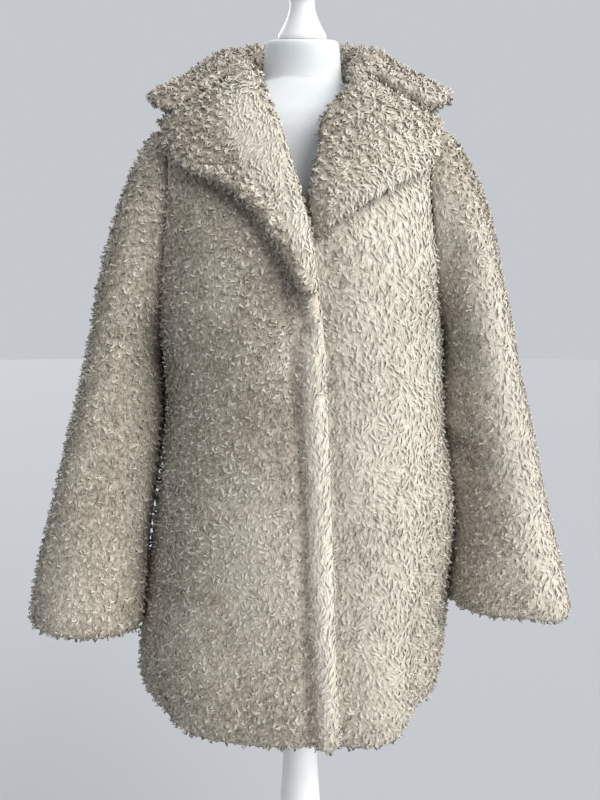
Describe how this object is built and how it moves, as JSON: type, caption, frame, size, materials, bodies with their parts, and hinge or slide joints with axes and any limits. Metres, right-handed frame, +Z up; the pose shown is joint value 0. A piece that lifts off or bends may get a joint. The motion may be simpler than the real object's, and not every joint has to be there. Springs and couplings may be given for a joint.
{
  "type": "faux fur coat on a dress form",
  "caption": "Mid-thigh curly faux fur coat with wide lapels, worn by a white limbless dress form on a turned post and a round base.",
  "frame": {"origin": "middle of the round base's underside, on the floor", "axes": "+Z up along the post; the coat's front faces -Y; +X is at the viewer's right, the wearer's left"},
  "size_m": [0.723, 0.4, 1.5356],
  "materials": {
    "fur": "curly cream faux fur",
    "jersey": "white fine jersey over foam",
    "lacquer": "satin white lacquer"
  },
  "bodies": {
    "root": {"back": "fur", "front_right": "fur", "front_left": "fur", "sleeve_right": "fur", "sleeve_left": "fur", "collar": "fur", "lapel_right": "fur", "lapel_left": "fur", "torso": "jersey", "neck_cap": "lacquer", "post": "lacquer", "base": "lacquer"}
  },
  "joints": []
}
